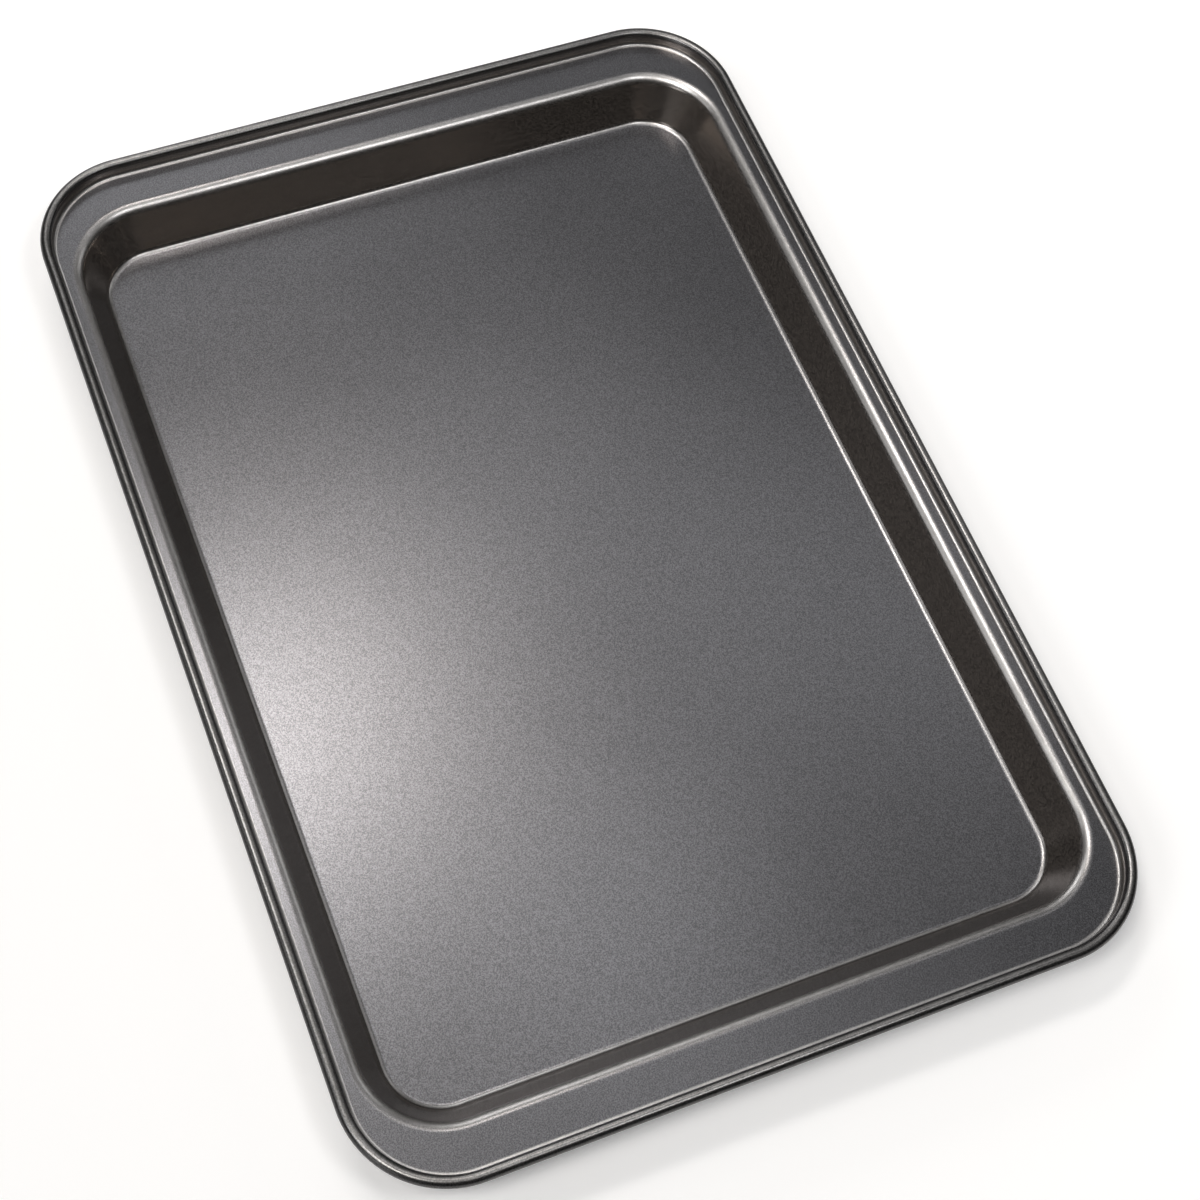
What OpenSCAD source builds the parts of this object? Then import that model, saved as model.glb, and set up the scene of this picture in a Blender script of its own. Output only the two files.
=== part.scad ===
// Jelly roll pan: a shallow drawn tray with a flat flange and a wired, rolled rim.
// Millimetres, Z up. The origin is the middle of the underside, and X runs along the pan.

/* [Tray] */
// Length of the flat baking surface
floor_length = 366; // [220:1:560]
// Width of the flat baking surface
floor_width = 249; // [140:1:420]
// Corner radius of the flat baking surface, seen from above
floor_corner_r = 19; // [8:1:45]
// Depth from the top of the flange to the baking surface
tray_depth = 18.6; // [12:0.2:45]
// How far the wall spreads outward between the floor and the flange, bends included
wall_spread = 14.2; // [8:0.1:30]
// Inside radius of the bend between floor and wall
floor_bend_r = 3; // [1:0.25:5]
// Outside radius of the bend between wall and flange
lip_bend_r = 5; // [2:0.25:6]

/* [Flange] */
// Width of the flat flange at each short end, where the pan is gripped
end_flange_w = 13; // [4:0.5:30]
// Width of the flat flange along each long side
side_flange_w = 2.5; // [1:0.5:20]

/* [Rim] */
// Inside radius of the crease between flange and upstand
crease_r = 1.4; // [0.6:0.1:3]
// Height of the top of the rim above the flange
rim_rise = 6.3; // [6:0.1:14]
// Corner radius of the outer edge of the rim, seen from above
rim_corner_r = 38.5; // [20:0.5:50]
// How far the sheet is rolled round the wire, in degrees
roll_angle = 300; // [240:5:305]

/* [Sheet and wire] */
// Thickness of the coated steel sheet
sheet_t = 0.6; // [0.4:0.05:1]
// Diameter of the wire inside the rim
wire_d = 3; // [2:0.1:3.4]
// Clearance round the wire inside the roll
wire_clearance = 0.1; // [0.05:0.05:0.2]
// Gap between the two butted ends of the wire
wire_end_gap = 1; // [0.5:0.25:3]

/* [Hidden] */
$fn = 96;

// Overlap of the bends with the flat floor and the flat flange, so that they join
seam = 0.5;

// Half sizes of the rectangle that joins the four corner axes of the tray
tray_axis_x = floor_length / 2 - floor_corner_r;
tray_axis_y = floor_width / 2 - floor_corner_r;

// Distances outward from a tray corner axis to the ends of the wall, bends included
floor_edge = floor_corner_r;
lip_edge = floor_edge + wall_spread;

// The wall is the straight tangent between a bend that rises from the floor and a bend
// that rolls over into the flange. Its lean follows from the two bend centres.
flange_top = tray_depth + sheet_t;
floor_bend_centre = [floor_edge, sheet_t + floor_bend_r];
lip_bend_centre = [lip_edge, flange_top - lip_bend_r];
bend_offset = lip_bend_centre - floor_bend_centre;
wall_lean = atan2(bend_offset.x, bend_offset.y)
    - asin((floor_bend_r + lip_bend_r) / norm(bend_offset));

// Half sizes of the outline where the flat flange ends and the crease starts
crease_half_x = floor_length / 2 + wall_spread + end_flange_w;
crease_half_y = floor_width / 2 + wall_spread + side_flange_w;

// The roll holds the wire, and the upstand is tangent to the roll on its inner side
roll_inner_r = wire_d / 2 + wire_clearance;
roll_outer_r = roll_inner_r + sheet_t;
wire_z = flange_top + rim_rise - roll_outer_r;

// Distances outward from a rim corner axis
crease_edge = rim_corner_r - 2 * roll_outer_r - crease_r;
wire_axis = rim_corner_r - roll_outer_r;
rim_axis_x = crease_half_x - crease_edge;
rim_axis_y = crease_half_y - crease_edge;

// Rounded rectangle, seen from above
module rounded_rectangle(half_x, half_y, r) {
    square([2 * half_x, 2 * (half_y - r)], center = true);
    square([2 * (half_x - r), 2 * half_y], center = true);
    for (side_x = [-1, 1])
        for (side_y = [-1, 1])
            translate([side_x * (half_x - r), side_y * (half_y - r)])
                circle(r);
}

// Everything under the sheet's upper face, or under its lower face when drop is the
// thickness of the sheet. The straight wall bites a hair into each bend, so they join.
module under_sheet(drop) {
    bite = 0.001;
    toward_wall = [cos(wall_lean), -sin(wall_lean)];
    difference() {
        polygon([
            [floor_edge - seam, -sheet_t],
            [floor_edge - seam, sheet_t - drop],
            [floor_edge, sheet_t - drop],
            floor_bend_centre,
            floor_bend_centre + (floor_bend_r + drop - bite) * toward_wall,
            lip_bend_centre - (lip_bend_r - drop - bite) * toward_wall,
            lip_bend_centre,
            [lip_edge, flange_top - drop],
            [lip_edge + seam, flange_top - drop],
            [lip_edge + seam, -sheet_t]
        ]);
        translate(floor_bend_centre)
            circle(floor_bend_r + drop);
    }
    translate(lip_bend_centre)
        circle(lip_bend_r - drop);
}

// Section of the tray wall with its two bends, measured outward from a tray corner axis.
// It overlaps the flat floor and the flat flange by a seam, so they join.
module wall_section() {
    intersection() {
        translate([floor_edge - seam, -sheet_t])
            square([wall_spread + 2 * seam, flange_top + 2 * sheet_t]);
        difference() {
            under_sheet(0);
            under_sheet(sheet_t);
        }
    }
}

// Wedge between two angles up to 120 degrees apart that reaches past a circle of radius r
module wedge(r, from_angle, to_angle) {
    middle = (from_angle + to_angle) / 2;
    polygon([
        [0, 0],
        2 * r * [cos(from_angle), sin(from_angle)],
        2 * r * [cos(middle), sin(middle)],
        2 * r * [cos(to_angle), sin(to_angle)]
    ]);
}

// Section of the crease, the upstand and the roll, measured outward from a rim corner axis
module rim_section() {
    upstand_edge = crease_edge + crease_r;
    translate([crease_edge, flange_top + crease_r])
        intersection() {
            difference() {
                circle(crease_r + sheet_t);
                circle(crease_r);
            }
            wedge(crease_r + sheet_t, -90, 0);
        }
    translate([upstand_edge, flange_top + crease_r])
        square([sheet_t, wire_z - flange_top - crease_r]);
    translate([wire_axis, wire_z])
        difference() {
            circle(roll_outer_r);
            circle(roll_inner_r);
            wedge(roll_outer_r, 180, 540 - roll_angle);
        }
}

// Carries a section round the rounded rectangle whose corner axes lie at axis_x and axis_y
module carry_round(axis_x, axis_y) {
    for (turn = [0 : 3]) {
        along = turn % 2 == 0 ? axis_x : axis_y;
        across = turn % 2 == 0 ? axis_y : axis_x;
        rotate(90 * turn)
            translate([along, across, 0]) {
                rotate([90, 0, 0])
                    linear_extrude(height = 2 * across)
                        children();
                rotate_extrude(angle = 90)
                    children();
            }
    }
}

// The pressed sheet: floor, leaning wall, flange, upstand and the roll round the wire
module pan_shell() {
    color("dimgray") {
        linear_extrude(height = sheet_t)
            rounded_rectangle(floor_length / 2, floor_width / 2, floor_corner_r);
        carry_round(tray_axis_x, tray_axis_y)
            wall_section();
        translate([0, 0, flange_top - sheet_t])
            linear_extrude(height = sheet_t)
                difference() {
                    rounded_rectangle(crease_half_x, crease_half_y, crease_edge);
                    rounded_rectangle(tray_axis_x + lip_edge, tray_axis_y + lip_edge, lip_edge);
                }
        carry_round(rim_axis_x, rim_axis_y)
            rim_section();
    }
}

// The stiffening wire: one bent length whose ends butt in the middle of a long side
module rim_wire() {
    color("silver")
        difference() {
            carry_round(rim_axis_x, rim_axis_y)
                translate([wire_axis, wire_z])
                    circle(wire_d / 2);
            translate([-wire_end_gap / 2, rim_axis_y, wire_z - wire_d])
                cube([wire_end_gap, rim_corner_r, 2 * wire_d]);
        }
}

pan_shell();
rim_wire();
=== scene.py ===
"""Jelly roll pan: one drawn, coated sheet with a wire in its rolled rim, in a plain studio.

The sheet is a single closed surface. Its section, followed along the upper face, round the
cut edge in the roll and back along the lower face, is carried round the rounded rectangle
of the pan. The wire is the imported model's own node with a finish on it. Lengths are metres.
"""

import logging
import math
from abc import ABC, abstractmethod
from dataclasses import dataclass, field
from enum import Enum

import bpy
import numpy as np
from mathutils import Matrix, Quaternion, Vector


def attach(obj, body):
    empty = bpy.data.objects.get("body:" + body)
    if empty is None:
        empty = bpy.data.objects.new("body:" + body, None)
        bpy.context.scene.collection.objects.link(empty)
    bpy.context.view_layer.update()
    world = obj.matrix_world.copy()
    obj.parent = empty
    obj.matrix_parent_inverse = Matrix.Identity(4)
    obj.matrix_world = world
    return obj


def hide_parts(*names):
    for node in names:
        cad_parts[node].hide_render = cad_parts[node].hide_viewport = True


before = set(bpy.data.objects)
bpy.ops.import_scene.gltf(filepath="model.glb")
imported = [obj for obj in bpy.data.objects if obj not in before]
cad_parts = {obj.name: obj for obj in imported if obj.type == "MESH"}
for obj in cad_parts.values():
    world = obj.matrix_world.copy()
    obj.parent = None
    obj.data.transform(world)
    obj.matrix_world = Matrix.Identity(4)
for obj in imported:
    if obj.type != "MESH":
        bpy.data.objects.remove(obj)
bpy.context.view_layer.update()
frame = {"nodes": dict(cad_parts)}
log = logging.getLogger("jelly_roll_pan")

MM = 0.001
BODY = "root"

# Numbers of the Mix node's sockets for colours, whose names other sockets share
MIX_AMOUNT, MIX_FIRST, MIX_SECOND, MIX_RESULT = 0, 6, 7, 2

# A colour with its alpha, and a node's sockets by name
Colour = tuple[float, float, float, float]
Sockets = dict[str, bpy.types.NodeSocket]


class Slot(Enum):
    """Names of the pan's material slots."""

    COATED_SHEET = "nonstick_steel"
    WIRE = "steel_wire"


class Face(Enum):
    """The face of the sheet that a run follows, as its depth in thicknesses of the sheet."""

    UPPER = 0.0
    LOWER = 1.0


class Mask(Enum):
    """The sheet's attributes that say where its coating differs, by name.

    DRAWN is 1 where the sheet is stretched by the drawing. The next mask is 1 where a highlight is
    painted, as a lighter colour, on the bends and the top of the roll, and ROLLED on the outside of the
    roll, which is coloured darker.
    """

    DRAWN = "drawn"
    # Painted highlight: a lighter colour laid on the bends and the top of the roll
    RUBBED = "rubbed"
    ROLLED = "rolled"


def put_in_scene(name: str, data: bpy.types.ID) -> bpy.types.Object:
    """Makes an object and links it to the scene.

    Args:
        name: the object's name.
        data: its mesh, lamp or camera.

    Returns:
        The object.
    """
    made = bpy.data.objects.new(name, data)
    bpy.context.scene.collection.objects.link(made)
    return made


# Shader nodes


class Graph:
    """A node tree under construction."""

    def __init__(self, tree: bpy.types.NodeTree) -> None:
        """Starts on an empty tree.

        Args:
            tree: the node tree that receives the nodes.
        """
        self.tree = tree
        self.tree.nodes.clear()

    def add(self, kind: str, options: dict | None = None, inputs: dict | None = None) -> bpy.types.Node:
        """Adds a node, sets its options, and fills or wires its inputs.

        Args:
            kind: Blender's name for the node type.
            options: the node's own properties by name.
            inputs: an input's name or number, with a socket to wire to it or a value to set.

        Returns:
            The new node.
        """
        node = self.tree.nodes.new(kind)
        for name, value in (options or {}).items():
            setattr(node, name, value)
        for name, value in (inputs or {}).items():
            if isinstance(value, bpy.types.NodeSocket):
                self.tree.links.new(value, node.inputs[name])
            else:
                node.inputs[name].default_value = value
        return node

    def math(
        self, operation: str, first: object, second: object = 0.0, clamp: bool = False
    ) -> bpy.types.NodeSocket:
        """Adds a Math node.

        Args:
            operation: Blender's name for the operation.
            first: a socket or number.
            second: a socket or number.
            clamp: whether the result is kept between 0 and 1.

        Returns:
            The result's socket.
        """
        options = {"operation": operation, "use_clamp": clamp}
        return self.add("ShaderNodeMath", options, {0: first, 1: second}).outputs["Value"]

    def ramp(
        self, value: object, low: object, high: object, start: object, end: object
    ) -> bpy.types.NodeSocket:
        """Maps a value from one range to another, smoothly and clamped.

        Args:
            value: the socket to map.
            low: where the input range starts.
            high: where the input range ends.
            start: the result at low.
            end: the result at high.

        Returns:
            The result's socket.
        """
        options = {"interpolation_type": "SMOOTHSTEP"}
        inputs = {"Value": value, "From Min": low, "From Max": high, "To Min": start, "To Max": end}
        return self.add("ShaderNodeMapRange", options, inputs).outputs["Result"]

    def mix(self, amount: object, first: object, second: object) -> bpy.types.NodeSocket:
        """Mixes two colours.

        Args:
            amount: 0 for the first colour, 1 for the second.
            first: a socket or colour.
            second: a socket or colour.

        Returns:
            The colour's socket.
        """
        inputs = {MIX_AMOUNT: amount, MIX_FIRST: first, MIX_SECOND: second}
        return self.add("ShaderNodeMix", {"data_type": "RGBA"}, inputs).outputs[MIX_RESULT]

    def scale(self, colour: object, amount: object) -> bpy.types.NodeSocket:
        """Multiplies a colour by a number.

        Args:
            colour: a socket or colour.
            amount: a socket or number.

        Returns:
            The colour's socket.
        """
        inputs = {0: colour, "Scale": amount}
        return self.add("ShaderNodeVectorMath", {"operation": "SCALE"}, inputs).outputs["Vector"]

    def mask(self, mask: Mask) -> bpy.types.NodeSocket:
        """Adds an Attribute node that reads one of the sheet's masks, and returns its value."""
        return self.add("ShaderNodeAttribute", {"attribute_name": mask.value}).outputs["Fac"]

    def metal(
        self, colour: object, metallic: object, roughness: object, height: object, relief: float
    ) -> None:
        """Lays a metal surface with a fine relief, and the material's output.

        Args:
            colour: the socket of the base colour.
            metallic: a socket or number.
            roughness: the socket of the roughness.
            height: the socket of the relief.
            relief: the real height that 1 stands for in it.
        """
        bump = self.add("ShaderNodeBump", inputs={"Strength": 1.0, "Distance": relief, "Height": height})
        inputs = {
            "Base Color": colour,
            "Metallic": metallic,
            "Roughness": roughness,
            "Normal": bump.outputs["Normal"],
        }
        shader = self.add("ShaderNodeBsdfPrincipled", inputs=inputs)
        self.add("ShaderNodeOutputMaterial", inputs={"Surface": shader.outputs["BSDF"]})


def new_material(name: str) -> tuple[bpy.types.Material, Graph]:
    """Makes a material whose node tree is empty.

    Args:
        name: the material's name.

    Returns:
        The material, and its node tree under construction.
    """
    made = bpy.data.materials.new(name)
    made.use_nodes = True
    return made, Graph(made.node_tree)


class Effect(ABC):
    """A surface effect kept as a shader node group, built once and placed in several materials.

    Attributes:
        name: the group's name.
        inputs: the kind and the first value of each input, by the input's name.
        outputs: the kind of each output, by the output's name.
    """

    name: str
    inputs: dict[str, tuple[str, object]]
    outputs: dict[str, str]

    @abstractmethod
    def wire(self, graph: Graph, source: Sockets) -> Sockets:
        """Lays the effect's nodes.

        Args:
            graph: the group's node tree.
            source: the group's inputs by name.

        Returns:
            The sockets that feed the group's outputs, by name.
        """

    def group(self) -> bpy.types.NodeTree:
        """Finds the effect's node group, or builds it the first time.

        Returns:
            The node group.
        """
        tree = bpy.data.node_groups.get(self.name)
        if tree is not None:
            return tree
        tree = bpy.data.node_groups.new(self.name, "ShaderNodeTree")
        for name, (kind, value) in self.inputs.items():
            socket = tree.interface.new_socket(name, in_out="INPUT", socket_type=kind)
            if value is not None:
                socket.default_value = value
        for name, kind in self.outputs.items():
            tree.interface.new_socket(name, in_out="OUTPUT", socket_type=kind)
        graph = Graph(tree)
        source = graph.add("NodeGroupInput")
        made = self.wire(graph, {name: source.outputs[name] for name in self.inputs})
        graph.add("NodeGroupOutput", inputs=made)
        return tree

    def place(self, graph: Graph, **values: object) -> Sockets:
        """Places the effect in a material.

        Args:
            graph: the material's node tree.
            values: sockets or numbers for the group's inputs, with _ for a space.

        Returns:
            The group's outputs by name.
        """
        inputs = {name.replace("_", " "): value for name, value in values.items()}
        node = graph.add("ShaderNodeGroup", {"node_tree": self.group()}, inputs)
        return {name: node.outputs[name] for name in self.outputs}


class FlakeGrain(Effect):
    """Fine speckle of the metal flakes in a coating, or of the grain of bare steel.

    Attributes:
        detail: number of finer layers on the first layer of the noise.
        fineness: how strong those layers are.
        speckle_range: the part of the noise that is stretched over 0 to 1.
        flake_height: how high a flake stands, as a share of the noise's height.
    """

    name = "flake_grain"
    inputs = {"Place": ("NodeSocketVector", None), "Cells per Metre": ("NodeSocketFloat", 2000.0)}
    outputs = {"Speckle": "NodeSocketFloat", "Glint": "NodeSocketFloat", "Height": "NodeSocketFloat"}
    detail = 2.0
    fineness = 0.6
    speckle_range = (0.3, 0.7)
    flake_height = 0.35

    def wire(self, graph: Graph, source: Sockets) -> Sockets:
        """Lays a noise for the speckle, cells of random grey for the glints, and their sum as relief.

        Args:
            graph: the group's node tree.
            source: the group's inputs by name.

        Returns:
            Speckle and Glint between 0 and 1, and Height.
        """
        place, rate = source["Place"], source["Cells per Metre"]
        noise = graph.add(
            "ShaderNodeTexNoise",
            inputs={"Vector": place, "Scale": rate, "Detail": self.detail, "Roughness": self.fineness},
        )
        cells = graph.add("ShaderNodeTexVoronoi", inputs={"Vector": place, "Scale": rate})
        grey = graph.add("ShaderNodeSeparateColor", inputs={"Color": cells.outputs["Color"]})
        speckle = graph.ramp(noise.outputs["Fac"], *self.speckle_range, 0.0, 1.0)
        flakes = graph.math("MULTIPLY", grey.outputs["Red"], self.flake_height)
        height = graph.math("ADD", noise.outputs["Fac"], flakes)
        return {"Speckle": speckle, "Glint": grey.outputs["Red"], "Height": height}


class Clouding(Effect):
    """Slow, soft variation across a surface, from uneven spraying and handling.

    Attributes:
        detail: number of finer layers on the first layer of the noise.
        cloud_range: the part of the noise that is stretched over 0 to 1.
    """

    name = "clouding"
    inputs = {
        "Place": ("NodeSocketVector", None),
        "Patches per Metre": ("NodeSocketFloat", 15.0),
        "Fineness": ("NodeSocketFloat", 0.5),
    }
    outputs = {"Cloud": "NodeSocketFloat"}
    detail = 4.0
    cloud_range = (0.32, 0.68)

    def wire(self, graph: Graph, source: Sockets) -> Sockets:
        """Lays a noise of a few octaves and stretches its middle range over 0 to 1.

        Args:
            graph: the group's node tree.
            source: the group's inputs by name.

        Returns:
            Cloud between 0 and 1.
        """
        noise = graph.add(
            "ShaderNodeTexNoise",
            inputs={
                "Vector": source["Place"],
                "Scale": source["Patches per Metre"],
                "Detail": self.detail,
                "Roughness": source["Fineness"],
            },
        )
        return {"Cloud": graph.ramp(noise.outputs["Fac"], *self.cloud_range, 0.0, 1.0)}


class DustSpecks(Effect):
    """Sparse specks of dust, each a small round spot in one of many cells.

    Attributes:
        smallest: size of the smallest speck, as a share of Speck.
    """

    name = "dust_specks"
    inputs = {
        "Place": ("NodeSocketVector", None),
        "Cells per Metre": ("NodeSocketFloat", 120.0),
        "Share": ("NodeSocketFloat", 0.1),
        "Speck": ("NodeSocketFloat", 0.03),
    }
    outputs = {"Dust": "NodeSocketFloat"}
    smallest = 0.35

    def wire(self, graph: Graph, source: Sockets) -> Sockets:
        """Takes the distance to each cell's point, in the share of cells with a low random number.

        Args:
            graph: the group's node tree.
            source: the group's inputs by name.

        Returns:
            Dust, 1 in the middle of a speck and 0 between specks.
        """
        cells = graph.add(
            "ShaderNodeTexVoronoi",
            inputs={"Vector": source["Place"], "Scale": source["Cells per Metre"]},
        )
        chance = graph.add("ShaderNodeSeparateColor", inputs={"Color": cells.outputs["Color"]})
        kept = graph.math("LESS_THAN", chance.outputs["Green"], source["Share"])
        share = graph.math("ADD", chance.outputs["Blue"], self.smallest)
        size = graph.math("MULTIPLY", source["Speck"], share)
        spot = graph.ramp(cells.outputs["Distance"], 0.0, size, 1.0, 0.0)
        return {"Dust": graph.math("MULTIPLY", spot, kept)}


# Finishes


@dataclass(frozen=True)
class CoatPatterns:
    """What differs over the coated sheet, as sockets from 0 to 1.

    Attributes:
        drawn: where the sheet is stretched by the drawing.
        highlit: where a highlight is painted, on the bends and the top of the roll.
        rolled: the outside of the roll.
        shaped: the greater of drawn and highlit.
        grain: the flakes' Speckle, Glint and Height, by name. Only Height can pass 1.
        cloud: the wide clouds.
        mottle: the small patches in the painted highlight.
        dust: the specks of dust.
    """

    drawn: bpy.types.NodeSocket
    # Painted highlight on the bends and the top of the roll
    highlit: bpy.types.NodeSocket
    rolled: bpy.types.NodeSocket
    shaped: bpy.types.NodeSocket
    grain: Sockets
    cloud: bpy.types.NodeSocket
    mottle: bpy.types.NodeSocket
    dust: bpy.types.NodeSocket


@dataclass(frozen=True)
class NonstickCoat:
    """Dark grey baked coating with fine metal flakes on the pan's sheet.

    The flats are a cool grey. The drawn walls are browner and smoother, where the coating is
    stretched. Bends and the top of the roll carry a painted highlight, a lighter and a little rougher
    colour, and the roll's outside is coloured darker.

    Attributes:
        flat_colour: colour of the floor and the flange.
        drawn_colour: colour of the drawn walls.
        highlight_colour: the lighter colour of the painted highlight.
        rim_colour: colour of the roll's outside.
        dust_colour: colour of the dust.
        flake_metal: how metallic the coating is on average.
        flake_metal_swing: how much more or less metallic a flake can be.
        speckle: how much lighter or darker the speckle can be on the flats, as a share.
        shaped_speckle: the share of the speckle that drawn places and the painted highlight keep.
        clouding: how much lighter or darker the clouding can be, as a share.
        roughness: roughness of the flats.
        drawn_roughness: what is added to it on drawn walls.
        bend_roughness: what is added to it under the painted highlight.
        clouding_roughness: how far it differs between clouds.
        dust_roughness: what is added to it on dust.
        grain_rate: flakes per metre.
        cloud_rate: clouds per metre.
        cloud_fineness: how strong the finer layers of the clouds are.
        mottle_rate: patches per metre in the painted highlight.
        mottle_fineness: how strong the finer layers of those patches are.
        mottle_range: the part of the patches that turns into more or less of the painted highlight.
        least_highlight: the share of the painted highlight that is left in its weakest patch.
        dust_rate: cells per metre, of which dust_share hold a speck.
        dust_share: share of the cells with a speck.
        dust_size: size of a speck, as a share of a cell.
        relief: height of the grain.
        shaped_relief: the share of the relief that drawn places and the painted highlight keep.
    """

    flat_colour: Colour = (0.194, 0.194, 0.206, 1.0)
    drawn_colour: Colour = (0.215, 0.190, 0.170, 1.0)
    # Lighter colour of the painted highlight on the bends and the top of the roll
    highlight_colour: Colour = (0.600, 0.588, 0.578, 1.0)
    # Darker colour of the roll's outside
    rim_colour: Colour = (0.075, 0.073, 0.073, 1.0)
    dust_colour: Colour = (0.36, 0.36, 0.36, 1.0)
    flake_metal: float = 0.87
    flake_metal_swing: float = 0.10
    speckle: float = 0.33
    shaped_speckle: float = 0.25
    clouding: float = 0.015
    roughness: float = 0.28
    drawn_roughness: float = -0.08
    bend_roughness: float = 0.06
    clouding_roughness: float = 0.012
    dust_roughness: float = 0.4
    grain_rate: float = 2300.0
    cloud_rate: float = 14.0
    cloud_fineness: float = 0.55
    mottle_rate: float = 170.0
    mottle_fineness: float = 0.6
    mottle_range: tuple[float, float] = (0.1, 0.9)
    least_highlight: float = 0.85
    dust_rate: float = 95.0
    dust_share: float = 0.12
    dust_size: float = 0.05
    relief: float = 0.006 * MM
    shaped_relief: float = 0.3

    def patterns(self, graph: Graph) -> CoatPatterns:
        """Reads the sheet's masks, and places the effects.

        Args:
            graph: the material's node tree.

        Returns:
            What differs over the sheet.
        """
        place = graph.add("ShaderNodeTexCoord").outputs["Object"]
        drawn, highlit, rolled = (graph.mask(mask) for mask in Mask)
        shaped = graph.math("MAXIMUM", drawn, highlit)
        grain = FlakeGrain().place(graph, Place=place, Cells_per_Metre=self.grain_rate)
        cloud = Clouding().place(
            graph, Place=place, Patches_per_Metre=self.cloud_rate, Fineness=self.cloud_fineness
        )["Cloud"]
        mottle = Clouding().place(
            graph, Place=place, Patches_per_Metre=self.mottle_rate, Fineness=self.mottle_fineness
        )["Cloud"]
        dust = DustSpecks().place(
            graph,
            Place=place,
            Cells_per_Metre=self.dust_rate,
            Share=self.dust_share,
            Speck=self.dust_size,
        )["Dust"]
        return CoatPatterns(drawn, highlit, rolled, shaped, grain, cloud, mottle, dust)

    def colour(self, graph: Graph, seen: CoatPatterns) -> bpy.types.NodeSocket:
        """Mixes the colours by the masks, then speckles, clouds and dusts them.

        Args:
            graph: the material's node tree.
            seen: what differs over the sheet.

        Returns:
            The colour's socket.
        """
        # Painted highlight: a lighter colour on the bends and the roll's top, broken into patches
        kept = graph.ramp(seen.mottle, *self.mottle_range, self.least_highlight, 1.0)
        rubbed = graph.math("MULTIPLY", seen.highlit, kept)
        colour = graph.mix(seen.drawn, self.flat_colour, self.drawn_colour)
        # Darker colour on the roll's outside
        colour = graph.mix(seen.rolled, colour, self.rim_colour)
        colour = graph.mix(rubbed, colour, self.highlight_colour)
        calmed = graph.ramp(seen.shaped, 0.0, 1.0, 1.0, self.shaped_speckle)
        swing = graph.math("MULTIPLY", self.speckle, calmed)
        darkest = graph.math("SUBTRACT", 1.0, swing)
        lightest = graph.math("ADD", 1.0, swing)
        speckled = graph.ramp(seen.grain["Speckle"], 0.0, 1.0, darkest, lightest)
        clouded = graph.ramp(seen.cloud, 0.0, 1.0, 1 - self.clouding, 1 + self.clouding)
        colour = graph.scale(colour, graph.math("MULTIPLY", clouded, speckled))
        return graph.mix(seen.dust, colour, self.dust_colour)

    def metallic(self, graph: Graph, seen: CoatPatterns) -> bpy.types.NodeSocket:
        """Makes each flake more or less metallic, and dust not at all.

        Args:
            graph: the material's node tree.
            seen: what differs over the sheet.

        Returns:
            The socket of how metallic the coating is.
        """
        least = self.flake_metal - self.flake_metal_swing
        most = self.flake_metal + self.flake_metal_swing
        flakes = graph.ramp(seen.grain["Glint"], 0.0, 1.0, least, most)
        return graph.math("MULTIPLY", flakes, graph.math("SUBTRACT", 1.0, seen.dust))

    def rough(self, graph: Graph, seen: CoatPatterns) -> bpy.types.NodeSocket:
        """Adds to the flats' roughness what straight drawn walls, bends, clouds and dust change in it.

        Args:
            graph: the material's node tree.
            seen: what differs over the sheet.

        Returns:
            The roughness's socket.
        """
        straight = graph.math("MULTIPLY", seen.drawn, graph.math("SUBTRACT", 1.0, seen.highlit))
        uneven = graph.math("SUBTRACT", seen.cloud, 0.5)
        changes = (
            (straight, self.drawn_roughness),
            (seen.highlit, self.bend_roughness),
            (uneven, self.clouding_roughness),
            (seen.dust, self.dust_roughness),
        )
        total = self.roughness
        for place, change in changes:
            total = graph.math("ADD", total, graph.math("MULTIPLY", place, change), clamp=True)
        return total

    def material(self) -> bpy.types.Material:
        """Builds the coating's material.

        Returns:
            The material. It reads the sheet's masks.
        """
        made, graph = new_material("nonstick_coat")
        seen = self.patterns(graph)
        flattened = graph.ramp(seen.shaped, 0.0, 1.0, 1.0, self.shaped_relief)
        height = graph.math("MULTIPLY", seen.grain["Height"], flattened)
        colour, metallic = self.colour(graph, seen), self.metallic(graph, seen)
        graph.metal(colour, metallic, self.rough(graph, seen), height, self.relief)
        return made


@dataclass(frozen=True)
class DrawnWire:
    """Bare drawn steel of the wire inside the rim, with a slight dull bloom.

    Attributes:
        bright_colour: colour of the clean steel.
        dull_colour: colour of the bloom.
        roughness: roughness of the clean steel.
        dull_roughness: what is added to it in the bloom.
        speckle: how much lighter or darker the grain can be, as a share.
        grain_rate: grains per metre.
        bloom_rate: patches of bloom per metre.
        bloom_fineness: how strong the finer layers of the bloom are.
        relief: height of the grain.
    """

    bright_colour: Colour = (0.58, 0.58, 0.59, 1.0)
    dull_colour: Colour = (0.40, 0.39, 0.38, 1.0)
    roughness: float = 0.34
    dull_roughness: float = 0.15
    speckle: float = 0.1
    grain_rate: float = 3200.0
    bloom_rate: float = 60.0
    bloom_fineness: float = 0.6
    relief: float = 0.01 * MM

    def material(self) -> bpy.types.Material:
        """Builds the wire's material.

        Returns:
            The material.
        """
        made, graph = new_material("drawn_wire")
        place = graph.add("ShaderNodeTexCoord").outputs["Object"]
        grain = FlakeGrain().place(graph, Place=place, Cells_per_Metre=self.grain_rate)
        bloom = Clouding().place(
            graph, Place=place, Patches_per_Metre=self.bloom_rate, Fineness=self.bloom_fineness
        )["Cloud"]
        colour = graph.mix(bloom, self.bright_colour, self.dull_colour)
        shade = graph.ramp(grain["Speckle"], 0.0, 1.0, 1 - self.speckle, 1 + self.speckle)
        colour = graph.scale(colour, shade)
        duller = graph.math("MULTIPLY", bloom, self.dull_roughness)
        rough = graph.math("ADD", self.roughness, duller)
        graph.metal(colour, 1.0, rough, grain["Height"], self.relief)
        return made


# The sheet


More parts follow.
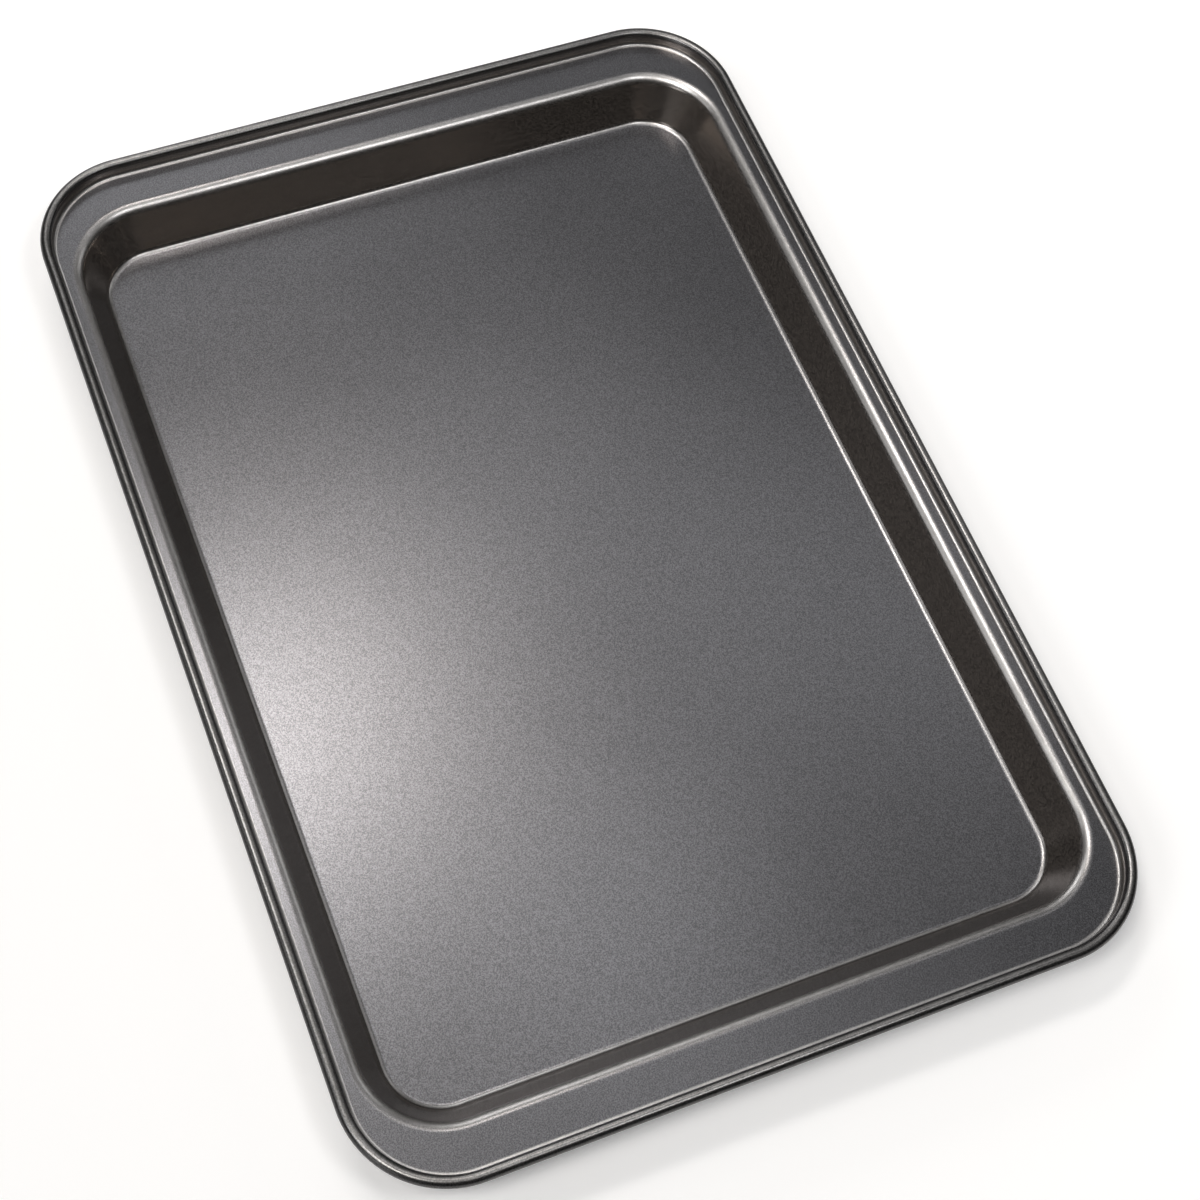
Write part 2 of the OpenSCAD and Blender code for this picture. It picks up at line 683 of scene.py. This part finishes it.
@dataclass(frozen=True)
class PanSizes:
    """Driving sizes of the pressed sheet, as in the part's source, and what follows from them.

    Attributes:
        floor_length: length of the flat baking surface.
        floor_width: its width.
        floor_corner_r: its corner radius, seen from above.
        tray_depth: from the top of the flange down to the baking surface.
        wall_spread: how far the wall spreads outward, bends included.
        floor_bend_r: inside radius of the bend between floor and wall.
        lip_bend_r: outside radius of the bend between wall and flange.
        end_flange_w: width of the flat flange at each short end.
        side_flange_w: its width along each long side.
        crease_r: inside radius of the crease between flange and upstand.
        rim_rise: height of the top of the rim above the flange.
        rim_corner_r: corner radius of the rim's outer edge, seen from above.
        roll_angle: how far the sheet is rolled round the wire, in degrees.
        sheet_t: thickness of the sheet.
        wire_d: diameter of the wire.
        wire_clearance: clearance round the wire inside the roll.
    """

    floor_length: float = 366 * MM
    floor_width: float = 249 * MM
    floor_corner_r: float = 19 * MM
    tray_depth: float = 18.6 * MM
    wall_spread: float = 14.2 * MM
    floor_bend_r: float = 3 * MM
    lip_bend_r: float = 5 * MM
    end_flange_w: float = 13 * MM
    side_flange_w: float = 2.5 * MM
    crease_r: float = 1.4 * MM
    rim_rise: float = 6.3 * MM
    rim_corner_r: float = 38.5 * MM
    roll_angle: float = 300.0
    sheet_t: float = 0.6 * MM
    wire_d: float = 3 * MM
    wire_clearance: float = 0.1 * MM

    @property
    def tray_axis(self) -> np.ndarray:
        """Half sizes of the rectangle that joins the tray's corner axes."""
        return np.array([self.floor_length, self.floor_width]) / 2 - self.floor_corner_r

    @property
    def lip_edge(self) -> float:
        """Distance outward from a tray corner axis to where the flange starts."""
        return self.floor_corner_r + self.wall_spread

    @property
    def flange_top(self) -> float:
        """Height of the flange's upper face."""
        return self.tray_depth + self.sheet_t

    @property
    def roll_inner_r(self) -> float:
        """Radius of the roll's inner face."""
        return self.wire_d / 2 + self.wire_clearance

    @property
    def roll_outer_r(self) -> float:
        """Radius of the roll's outer face."""
        return self.roll_inner_r + self.sheet_t

    @property
    def wire_z(self) -> float:
        """Height of the middle of the wire."""
        return self.flange_top + self.rim_rise - self.roll_outer_r

    @property
    def crease_edge(self) -> float:
        """Distance outward from a rim corner axis to where the flange ends."""
        return self.rim_corner_r - 2 * self.roll_outer_r - self.crease_r

    @property
    def wire_axis(self) -> float:
        """Distance outward from a rim corner axis to the middle of the wire."""
        return self.rim_corner_r - self.roll_outer_r

    @property
    def wire_centre(self) -> np.ndarray:
        """Middle of the wire in the section, outward and up."""
        return np.array([self.wire_axis, self.wire_z])

    @property
    def roll_end(self) -> float:
        """Angle round the wire at which the roll ends, in radians from its outer side."""
        return math.pi - math.radians(self.roll_angle)

    @property
    def rim_axis(self) -> np.ndarray:
        """Half sizes of the rectangle that joins the rim's corner axes."""
        flanges = np.array([self.end_flange_w, self.side_flange_w])
        return self.tray_axis + self.lip_edge + flanges - self.crease_edge

    @property
    def floor_bend_centre(self) -> np.ndarray:
        """Middle of the floor bend in the section, outward and up."""
        return np.array([self.floor_corner_r, self.sheet_t + self.floor_bend_r])

    @property
    def lip_bend_centre(self) -> np.ndarray:
        """Middle of the lip bend in the section, outward and up."""
        return np.array([self.lip_edge, self.flange_top - self.lip_bend_r])

    @property
    def wall_lean(self) -> float:
        """Works out the wall's lean, from the tangent between the two bends.

        Returns:
            The angle between the wall and upright.
        """
        across, rise = self.lip_bend_centre - self.floor_bend_centre
        reach = math.hypot(across, rise)
        return math.atan2(across, rise) - math.asin((self.floor_bend_r + self.lip_bend_r) / reach)


@dataclass(frozen=True)
class Run:
    """One run of points along the sheet's section.

    Attributes:
        points: distance outward from the corner axis and height, one row a point.
        spread: 0 where the corner axes are the tray's, and 1 where they are the rim's.
        shrink: 1 where the outline has its full size, and less further in on the floor.
        drawn: values of Mask.DRAWN.
        rubbed: values of the painted highlight's mask.
        rolled: values of Mask.ROLLED.
    """

    points: np.ndarray
    spread: np.ndarray | float
    shrink: np.ndarray | float = 1.0
    drawn: np.ndarray | float = 0.0
    rubbed: np.ndarray | float = 0.0
    rolled: np.ndarray | float = 0.0

    def column(self, name: str) -> np.ndarray:
        """Returns one of the run's values as an array with one value a point."""
        return np.broadcast_to(getattr(self, name), len(self.points))

    def back(self) -> "Run":
        """Returns the run followed the other way."""
        values = ("spread", "shrink", *(mask.value for mask in Mask))
        return Run(self.points[::-1], *(self.column(name)[::-1] for name in values))


def arc(centre: np.ndarray, radius: float, start: float, end: float, count: int) -> np.ndarray:
    """Points on an arc: the centre plus the radius times (cos a, sin a), with a in even steps.

    Args:
        centre: middle of the arc.
        radius: radius of the arc.
        start: first angle in radians.
        end: last angle in radians.
        count: number of points.

    Returns:
        The points, one row each.
    """
    angle = np.linspace(start, end, count)
    return centre + radius * np.stack([np.cos(angle), np.sin(angle)], axis=1)


def line(start: tuple[float, float], end: tuple[float, float], steps: np.ndarray) -> np.ndarray:
    """Points on a line: start plus the step times (end minus start).

    Args:
        start: the point at step 0.
        end: the point at step 1.
        steps: where the points lie.

    Returns:
        The points, one row each.
    """
    return np.asarray(start) + np.outer(steps, np.subtract(end, start))


def hump(steps: np.ndarray, middle: float, width: float) -> np.ndarray:
    """Works out a soft hump: e to the power of minus ((step minus middle) over width) squared.

    Args:
        steps: where the values are wanted, from 0 to 1 across a bend.
        middle: the step at which the hump is 1.
        width: the distance from the middle at which it has fallen to 0.37.

    Returns:
        One value a step.
    """
    return np.exp(-(((steps - middle) / width) ** 2))


@dataclass
class SheetSurface:
    """A closed surface made by carrying the sheet's section round the pan's outline.

    A point at column s and row t is
    shrink(t) * (corner(s) * axis(t) + out(t) * (cos a(s), sin a(s))), at height up(t).
    The corner's sign slides from one side to the other along a straight and a stands still,
    and round a corner a turns and the sign stands still.

    Attributes:
        sizes: the sheet's sizes.
        runs: the section, run by run.
        corner_steps: number of columns round a corner.
        straight_step: greatest distance between columns along a straight.
    """

    sizes: PanSizes
    runs: list[Run]
    corner_steps: int = 24
    straight_step: float = 8 * MM

    def columns(self) -> tuple[np.ndarray, np.ndarray]:
        """Lays the columns round the outline.

        Returns:
            The corner signs, two a column, and the angles.
        """
        signs, angles = [], []
        corners = np.array([[1, 1], [-1, 1], [-1, -1], [1, -1]], float)
        spans = 2 * self.sizes.tray_axis
        quarter = np.arange(self.corner_steps) / self.corner_steps
        for turn, (here, after) in enumerate(zip(corners, np.roll(corners, -1, axis=0))):
            signs.append(np.repeat(here[None], self.corner_steps, axis=0))
            angles.append((turn + quarter) * math.pi / 2)
            count = math.ceil(spans[turn % 2] / self.straight_step)
            slide = np.arange(count)[:, None] / count
            signs.append(here * (1 - slide) + after * slide)
            angles.append(np.full(count, (turn + 1) * math.pi / 2))
        return np.concatenate(signs), np.concatenate(angles)

    def rows(self, name: str) -> np.ndarray:
        """Returns one of the runs' values for every row of the surface."""
        return np.concatenate([run.column(name) for run in self.runs])

    def grid(self) -> np.ndarray:
        """Works out every point of the surface.

        Returns:
            The points by row and column.
        """
        signs, angles = self.columns()
        points = np.concatenate([run.points for run in self.runs])
        spread, shrink = self.rows("spread"), self.rows("shrink")
        out, up = points[:, 0, None], points[:, 1, None]
        axis = (1 - spread)[:, None] * self.sizes.tray_axis + spread[:, None] * self.sizes.rim_axis
        x = shrink[:, None] * (axis[:, :1] * signs[:, 0] + out * np.cos(angles))
        y = shrink[:, None] * (axis[:, 1:] * signs[:, 1] + out * np.sin(angles))
        z = np.broadcast_to(up, x.shape)
        return np.stack([x, y, z], axis=2)

    @staticmethod
    def faces(rows: int, columns: int) -> list[list[int]]:
        """Numbers the faces: quads between neighbouring rows and columns, and a fan at each pole.

        Args:
            rows: number of rows of points.
            columns: number of points in a row. The two poles follow the last row.

        Returns:
            The numbers of each face's points.
        """
        ring = np.arange(columns)
        after = (ring + 1) % columns
        inner = columns * np.arange(rows - 1)[:, None]
        outer = inner + columns
        quads = np.stack([inner + ring, outer + ring, outer + after, inner + after], axis=2)
        top, bottom = rows * columns, rows * columns + 1
        last = (rows - 1) * columns
        above = np.stack([np.full(columns, top), ring, after], axis=1)
        below = np.stack([np.full(columns, bottom), last + after, last + ring], axis=1)
        return [*quads.reshape(-1, 4).tolist(), *above.tolist(), *below.tolist()]

    def mesh(self, name: str) -> bpy.types.Mesh:
        """Makes the mesh, with a pole in the middle of the first and of the last row.

        Args:
            name: the mesh's name.

        Returns:
            The mesh, with its masks as attributes.
        """
        grid = self.grid()
        rows, columns = grid.shape[:2]
        poles = np.array([[0, 0, grid[0, 0, 2]], [0, 0, grid[-1, 0, 2]]])
        points = np.concatenate([grid.reshape(-1, 3), poles])
        made = bpy.data.meshes.new(name)
        made.from_pydata(points, [], self.faces(rows, columns))
        for mask in Mask:
            values = self.rows(mask.value)
            spots = np.concatenate([np.repeat(values, columns), values[[0, -1]]]).astype(np.float32)
            made.attributes.new(mask.value, "FLOAT", "POINT").data.foreach_set("value", spots)
        made.shade_smooth()
        made.validate()
        made.update()
        return made


@dataclass
class PressedSheet:
    """The pressed sheet: floor, leaning wall, flange, upstand and the roll round the wire.

    Attributes:
        sizes: the sheet's sizes.
        finish: its coating.
        floor_margin: width of the strip at the floor's edge whose points follow the edge.
        hold: distance from the floor's edge to the row that keeps the flat floor flat.
        floor_bend_highlight: the strongest painted highlight on the floor bend.
        floor_bend_hump: middle and width of that, from 0 at the floor to 1 at the wall.
        lip_bend_highlight: the strongest painted highlight on the lip bend.
        lip_bend_hump: middle and width of that, from 0 at the wall to 1 at the flange.
        crease_highlight: the strongest painted highlight in the crease.
        ridge_highlight: the strongest painted highlight on the top of the roll.
        ridge_angle: where that is, in degrees round the roll from its outer side.
        ridge_sharpness: the power that makes that highlight narrow.
        darkening_turn: angle in degrees over which the roll's outside turns to the darker colour.
        hub: size of the floor's innermost ring of points, as a share of the ring at the margin.
        floor_rows: number of rings from that one to the margin, both included.
        margin_rows: number of even places across the margin, ends included.
        bend_steps: number of points across the floor bend and the crease.
        lip_steps: number of points across the lip bend.
        roll_steps: number of points round the roll.
        edge_steps: number of points round the cut edge, ends included.
        wall_steps: where the wall's points lie, from 0 at the floor bend to 1 at the lip bend.
        flange_steps: where the flange's points lie, from 0 at the lip bend to 1 at the crease.
        upstand_steps: where the upstand's points lie, from 0 at the crease to 1 at the roll.
    """

    sizes: PanSizes = field(default_factory=PanSizes)
    finish: NonstickCoat = field(default_factory=NonstickCoat)
    floor_margin: float = 15 * MM
    hold: float = 0.25 * MM
    floor_bend_highlight: float = 0.8
    floor_bend_hump: tuple[float, float] = (0.38, 0.20)
    lip_bend_highlight: float = 1.0
    lip_bend_hump: tuple[float, float] = (0.50, 0.28)
    crease_highlight: float = 0.8
    ridge_highlight: float = 0.45
    ridge_angle: float = 102.0
    ridge_sharpness: int = 10
    darkening_turn: float = 50.0
    hub: float = 0.04
    floor_rows: int = 13
    margin_rows: int = 9
    bend_steps: int = 13
    lip_steps: int = 19
    roll_steps: int = 41
    edge_steps: int = 7
    wall_steps: tuple[float, ...] = (0.03, 0.25, 0.5, 0.75, 0.97)
    flange_steps: tuple[float, ...] = (0.04, 0.35, 0.65, 0.96)
    upstand_steps: tuple[float, ...] = (0.1, 0.5, 0.9)

    def floor_run(self, face: Face) -> Run:
        """Lays the floor from its middle to its edge.

        Args:
            face: the face that the run follows.

        Returns:
            The run. Its middle part shrinks the outline, and its margin follows the edge.
        """
        sizes = self.sizes
        height = sizes.sheet_t * (1 - face.value)
        inner = np.linspace(self.hub, 1.0, self.floor_rows)
        even = np.linspace(0.0, 1.0, self.margin_rows)[1:-1]
        margin = np.append(even, [1 - self.hold / self.floor_margin, 1.0])
        reach = sizes.floor_corner_r - self.floor_margin * (1 - margin)
        out = np.concatenate([np.full(len(inner), sizes.floor_corner_r - self.floor_margin), reach])
        shrink = np.concatenate([inner, np.ones(len(margin))])
        return Run(np.stack([out, np.full(len(out), height)], axis=1), 0.0, shrink)

    def wall_run(self, face: Face) -> Run:
        """Lays the floor bend, the leaning wall and the lip bend, outward.

        Args:
            face: the face that the run follows.

        Returns:
            The run. It counts as drawn between the bends, and carries a painted highlight on both bends.
        """
        sizes = self.sizes
        drop = sizes.sheet_t * face.value
        lean, quarter = sizes.wall_lean, math.pi / 2
        bend_r, lip_r = sizes.floor_bend_r + drop, sizes.lip_bend_r - drop
        bend = arc(sizes.floor_bend_centre, bend_r, -quarter, -lean, self.bend_steps)[1:]
        lip = arc(sizes.lip_bend_centre, lip_r, math.pi - lean, quarter, self.lip_steps)
        wall = line(bend[-1], lip[0], np.array(self.wall_steps))
        rise, turn = np.linspace(0, 1, len(bend)), np.linspace(0, 1, len(lip))
        drawn = np.concatenate([rise, np.ones(len(wall)), 1 - turn])
        # Painted highlight on the floor bend and the lip bend
        below = self.floor_bend_highlight * hump(rise, *self.floor_bend_hump)
        above = self.lip_bend_highlight * hump(turn, *self.lip_bend_hump)
        rubbed = np.concatenate([below, np.zeros(len(wall)), above])
        return Run(np.concatenate([bend, wall, lip]), 0.0, drawn=drawn, rubbed=rubbed)

    def flange_run(self, face: Face) -> Run:
        """Lays the flat flange between the tray's outline and the rim's.

        Args:
            face: the face that the run follows.

        Returns:
            The run. Its corner axes pass from the tray's to the rim's.
        """
        sizes = self.sizes
        height = sizes.flange_top - sizes.sheet_t * face.value
        steps = np.array(self.flange_steps)
        points = line((sizes.lip_edge, height), (sizes.crease_edge, height), steps)
        return Run(points, steps)

    def upstand_run(self, face: Face) -> Run:
        """Lays the crease and the upstand.

        Args:
            face: the face that the run follows.

        Returns:
            The run. It counts as drawn from the crease up, and carries a painted highlight in the
            crease.
        """
        sizes = self.sizes
        drop = sizes.sheet_t * face.value
        centre = np.array([sizes.crease_edge, sizes.flange_top + sizes.crease_r])
        crease = arc(centre, sizes.crease_r + drop, -math.pi / 2, 0.0, self.bend_steps)
        upstand = line(crease[-1], (crease[-1][0], sizes.wire_z), np.array(self.upstand_steps))
        rise = np.linspace(0, 1, len(crease))
        drawn = np.concatenate([rise, np.ones(len(upstand))])
        # Painted highlight in the crease
        rubbed = np.concatenate([self.crease_highlight * np.cos(math.pi / 2 * rise), np.zeros(len(upstand))])
        return Run(np.concatenate([crease, upstand]), 1.0, drawn=drawn, rubbed=rubbed)

    def roll_run(self, face: Face) -> Run:
        """Lays one face of the roll, from the upstand over the top to the cut edge.

        Args:
            face: the face that the run follows. The upper one becomes the roll's outside.

        Returns:
            The run. The outside is coloured darker, and carries a weak painted highlight where it stands
            highest, by the cosine of the angle from there, raised to the power ridge_sharpness.
        """
        sizes = self.sizes
        radius = sizes.roll_outer_r - sizes.sheet_t * face.value
        angle = np.linspace(math.pi, sizes.roll_end, self.roll_steps)
        points = arc(sizes.wire_centre, radius, math.pi, sizes.roll_end, self.roll_steps)
        outside = 1 - face.value
        from_ridge = angle - math.radians(self.ridge_angle)
        # Painted highlight on the top of the roll's outside
        ridge = np.clip(np.cos(from_ridge), 0, 1) ** self.ridge_sharpness
        # The roll's outside turns to the darker colour
        rolled = np.clip((math.pi - angle) / math.radians(self.darkening_turn), 0, 1) * outside
        return Run(points, 1.0, drawn=1 - rolled, rubbed=self.ridge_highlight * ridge * outside, rolled=rolled)

    def cut_edge_run(self) -> Run:
        """Lays the sheet's rounded cut edge, a half circle from the roll's outside to its inside.

        Returns:
            The run, coloured as dark as the roll's outside.
        """
        sizes = self.sizes
        end = sizes.roll_end
        middle_r = (sizes.roll_outer_r + sizes.roll_inner_r) / 2
        toward_edge = np.array([math.cos(end), math.sin(end)])
        centre = sizes.wire_centre + middle_r * toward_edge
        edge = arc(centre, sizes.sheet_t / 2, end, end - math.pi, self.edge_steps)
        return Run(edge[1:-1], 1.0, rolled=1.0)

    def runs(self) -> list[Run]:
        """Joins the section: out on the upper face, round the cut edge and back on the lower face.

        Returns:
            The runs in order.
        """
        stages = (self.floor_run, self.wall_run, self.flange_run, self.upstand_run, self.roll_run)
        outward = [[stage(face) for stage in stages] for face in Face]
        return [*outward[0], self.cut_edge_run(), *(run.back() for run in reversed(outward[1]))]

    def build(self) -> bpy.types.Object:
        """Makes the sheet, dresses it, and puts it in the CAD node's place.

        Returns:
            The sheet's object.
        """
        surface = SheetSurface(self.sizes, self.runs())
        sheet = put_in_scene("pressed_sheet", surface.mesh("pressed_sheet"))
        sheet.data.materials.append(self.finish.material())
        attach(sheet, BODY)
        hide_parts("pan_shell")
        return sheet


@dataclass
class RimWire:
    """The wire in the roll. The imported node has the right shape, and gets its finish here.

    Attributes:
        nodes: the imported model's objects by name.
        finish: the wire's finish.
    """

    nodes: dict[str, bpy.types.Object]
    finish: DrawnWire = field(default_factory=DrawnWire)

    def build(self) -> bpy.types.Object:
        """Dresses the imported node.

        Returns:
            The wire's object.
        """
        wire = self.nodes["rim_wire"]
        material = self.finish.material()
        if not wire.material_slots:
            wire.data.materials.append(material)
        for slot in wire.material_slots:
            slot.link = "OBJECT"
            slot.material = material
        return wire


# The studio


@dataclass(frozen=True)
class SoftBox:
    """A rectangular soft lamp aimed at the middle of the pan.

    Its power is the level times pi squared times the distance squared.

    Attributes:
        name: the lamp's name.
        azimuth: where it hangs, in degrees from +X towards +Y.
        elevation: its angle above the floor, in degrees.
        width: its width.
        height: its height.
        level: the share of a fully lit white card that it gives to a card facing it at the pan.
        colour: the tint of its light.
        distance: from the middle of the pan to the lamp.
    """

    name: str
    azimuth: float
    elevation: float
    width: float
    height: float
    level: float
    colour: tuple[float, float, float] = (1.0, 1.0, 1.0)
    distance: float = 1.5

    def build(self) -> bpy.types.Object:
        """Makes the lamp.

        Returns:
            The lamp's object.
        """
        data = bpy.data.lights.new(self.name, "AREA")
        data.shape = "RECTANGLE"
        data.size = self.width
        data.size_y = self.height
        data.color = self.colour
        data.energy = self.level * (math.pi * self.distance) ** 2
        turn, lift = math.radians(self.azimuth), math.radians(self.elevation)
        out, up = math.cos(lift), math.sin(lift)
        toward = Vector((out * math.cos(turn), out * math.sin(turn), up))
        lamp = put_in_scene(self.name, data)
        lamp.location = toward * self.distance
        lamp.rotation_euler = toward.to_track_quat("Z", "Y").to_euler()
        lamp.visible_camera = False
        log.info("%s: level %.2f", lamp.name, self.level)
        return lamp


@dataclass(frozen=True)
class PhotoCamera:
    """Camera at the photograph's viewing angle.

    Attributes:
        place: where it stands.
        aim: the point that it looks at.
        roll: its turn about the line of sight, in degrees.
        lens: focal length in millimetres.
        sensor: width of the sensor in millimetres.
        shift: sideways shift of the frame, as a share of its width.
        nearest: the nearest distance that it shows.
    """

    place: tuple[float, float, float] = (0.34676, -0.18902, 0.73147)
    aim: tuple[float, float, float] = (0.01505, -0.01126, 0.0)
    roll: float = 7.974
    lens: float = 65.238
    sensor: float = 36.0
    shift: float = 0.05
    nearest: float = 10 * MM

    def build(self) -> bpy.types.Object:
        """Makes the camera and hands it to the scene.

        Returns:
            The camera's object.
        """
        data = bpy.data.cameras.new("photo_camera")
        data.lens = self.lens
        data.sensor_width = self.sensor
        data.shift_x = self.shift
        data.clip_start = self.nearest
        camera = put_in_scene("photo_camera", data)
        toward = Vector(self.aim) - Vector(self.place)
        level = toward.to_track_quat("-Z", "Y")
        camera.rotation_mode = "QUATERNION"
        camera.rotation_quaternion = level @ Quaternion((0, 0, 1), math.radians(self.roll))
        camera.location = self.place
        bpy.context.scene.camera = camera
        log.info("camera at %s", self.place)
        return camera


@dataclass
class Studio:
    """Plain pale floor, soft lamps, a surround that is white to the camera alone, and the camera.

    Attributes:
        floor_size: side of the square floor.
        floor_cells: number of cells along a side.
        floor_colour: its colour.
        near_lift: what the camera sees added to it up to lift_start.
        far_lift: what the camera sees added to it from lift_end on.
        lift_start: distance from best_lit at which the lift starts to grow.
        lift_end: distance from best_lit at which it has grown.
        best_lit: the spot of the floor that the lamps light best.
        surround_colour: colour of the surround.
        surround_level: how strongly it lights the scene.
        camera: the camera.
        lamps: the lamps.
    """

    floor_size: float = 8.0
    floor_cells: int = 8
    floor_colour: Colour = (0.95, 0.95, 0.95, 1.0)
    near_lift: float = 0.08
    far_lift: float = 1.05
    lift_start: float = 0.1
    lift_end: float = 1.9
    best_lit: tuple[float, float, float] = (0.10, -0.45, 0.0)
    surround_colour: Colour = (1.0, 1.0, 1.0, 1.0)
    surround_level: float = 0.01
    camera: PhotoCamera = field(default_factory=PhotoCamera)
    lamps: tuple[SoftBox, ...] = (
        SoftBox("key_lamp", 300.0, 66.5, 0.305, 0.420, 0.302, (1.0, 0.965, 0.93)),
        SoftBox("left_fill", 283.0, 49.0, 0.446, 0.368, 0.170),
        SoftBox("front_right_lamp", 30.0, 68.0, 0.294, 0.210, 0.135),
        SoftBox("rear_left_lamp", 210.0, 68.0, 0.294, 0.210, 0.133, (1.0, 0.985, 0.965)),
        SoftBox("rear_lamp", 180.0, 68.0, 0.294, 0.210, 0.087, (1.0, 0.935, 0.875)),
        SoftBox("low_rear_fill", 180.0, 34.0, 0.494, 0.475, 0.102),
        SoftBox("low_front_fill", 300.0, 18.0, 0.502, 0.368, 0.066),
        SoftBox("low_left_fill", 247.5, 34.0, 0.494, 0.475, 0.043),
        SoftBox("low_right_fill", 112.5, 34.0, 0.494, 0.475, 0.036),
        SoftBox("top_right_fill", 135.0, 76.0, 0.286, 0.210, 0.018),
        SoftBox("rear_right_fill", 138.0, 60.0, 0.804, 0.236, 0.026),
        SoftBox("far_right_fill", 157.5, 34.0, 0.494, 0.475, 0.015),
    )

    def floor_material(self) -> bpy.types.Material:
        """Builds the pale floor's material.

        It is a matt white that the camera and reflections see a little lifted. The lift grows
        with the distance from the best lit spot, so the floor reads white all over and keeps
        the shadow beside the pan. From below it is clear, so the underside can be looked at.

        Returns:
            The material.
        """
        made, graph = new_material("pale_floor")
        path = graph.add("ShaderNodeLightPath").outputs
        seen = graph.math("MAXIMUM", path["Is Camera Ray"], path["Is Glossy Ray"])
        seen = graph.math("MAXIMUM", seen, path["Is Transmission Ray"])
        matt = graph.add("ShaderNodeBsdfDiffuse", inputs={"Color": self.floor_colour})
        place = graph.add("ShaderNodeTexCoord").outputs["Object"]
        options = {"operation": "DISTANCE"}
        reach = graph.add("ShaderNodeVectorMath", options, {0: place, 1: self.best_lit}).outputs["Value"]
        level = graph.ramp(reach, self.lift_start, self.lift_end, self.near_lift, self.far_lift)
        strength = graph.math("MULTIPLY", seen, level)
        lift = graph.add("ShaderNodeEmission", inputs={"Strength": strength})
        both = graph.add("ShaderNodeAddShader", inputs={0: matt.outputs[0], 1: lift.outputs[0]})
        below = graph.add("ShaderNodeNewGeometry").outputs["Backfacing"]
        clear = graph.add("ShaderNodeBsdfTransparent")
        inputs = {0: below, 1: both.outputs[0], 2: clear.outputs[0]}
        faced = graph.add("ShaderNodeMixShader", inputs=inputs)
        graph.add("ShaderNodeOutputMaterial", inputs={"Surface": faced.outputs[0]})
        return made

    def floor(self) -> bpy.types.Object:
        """Makes the floor, a square grid at height 0.

        Returns:
            The floor's object.
        """
        side = np.linspace(-self.floor_size / 2, self.floor_size / 2, self.floor_cells + 1)
        x, y = np.meshgrid(side, side, indexing="ij")
        points = np.stack([x, y, np.zeros_like(x)], axis=2).reshape(-1, 3)
        number = np.arange(points.shape[0]).reshape(x.shape)
        corners = (number[:-1, :-1], number[1:, :-1], number[1:, 1:], number[:-1, 1:])
        faces = np.stack(corners, axis=2)
        data = bpy.data.meshes.new("studio_floor")
        data.from_pydata(points, [], faces.reshape(-1, 4).tolist())
        data.materials.append(self.floor_material())
        made = put_in_scene("studio_floor", data)
        return made

    def surround(self) -> bpy.types.World:
        """Makes the world white where the camera sees it, and a dim, even light elsewhere.

        Returns:
            The world.
        """
        world = bpy.data.worlds.new("surround")
        world.use_nodes = True
        graph = Graph(world.node_tree)
        straight = graph.add("ShaderNodeLightPath").outputs["Is Camera Ray"]
        strength = graph.math("MAXIMUM", straight, self.surround_level)
        inputs = {"Color": self.surround_colour, "Strength": strength}
        light = graph.add("ShaderNodeBackground", inputs=inputs)
        graph.add("ShaderNodeOutputWorld", inputs={"Surface": light.outputs[0]})
        bpy.context.scene.world = world
        return world

    def build(self) -> None:
        """Makes the floor, the surround, the lamps and the camera."""
        self.floor()
        self.surround()
        for lamp in self.lamps:
            lamp.build()
        self.camera.build()
        bpy.context.scene.view_settings.view_transform = "Standard"


def main() -> None:
    """Builds the pan's pieces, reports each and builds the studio."""
    logging.basicConfig(level=logging.INFO, format="%(name)s %(message)s")
    for piece in (PressedSheet(), RimWire(frame["nodes"])):
        built = piece.build()
        log.info("%s: %d faces", built.name, len(built.data.polygons))
    Studio().build()


if __name__ == "__main__":
    main()
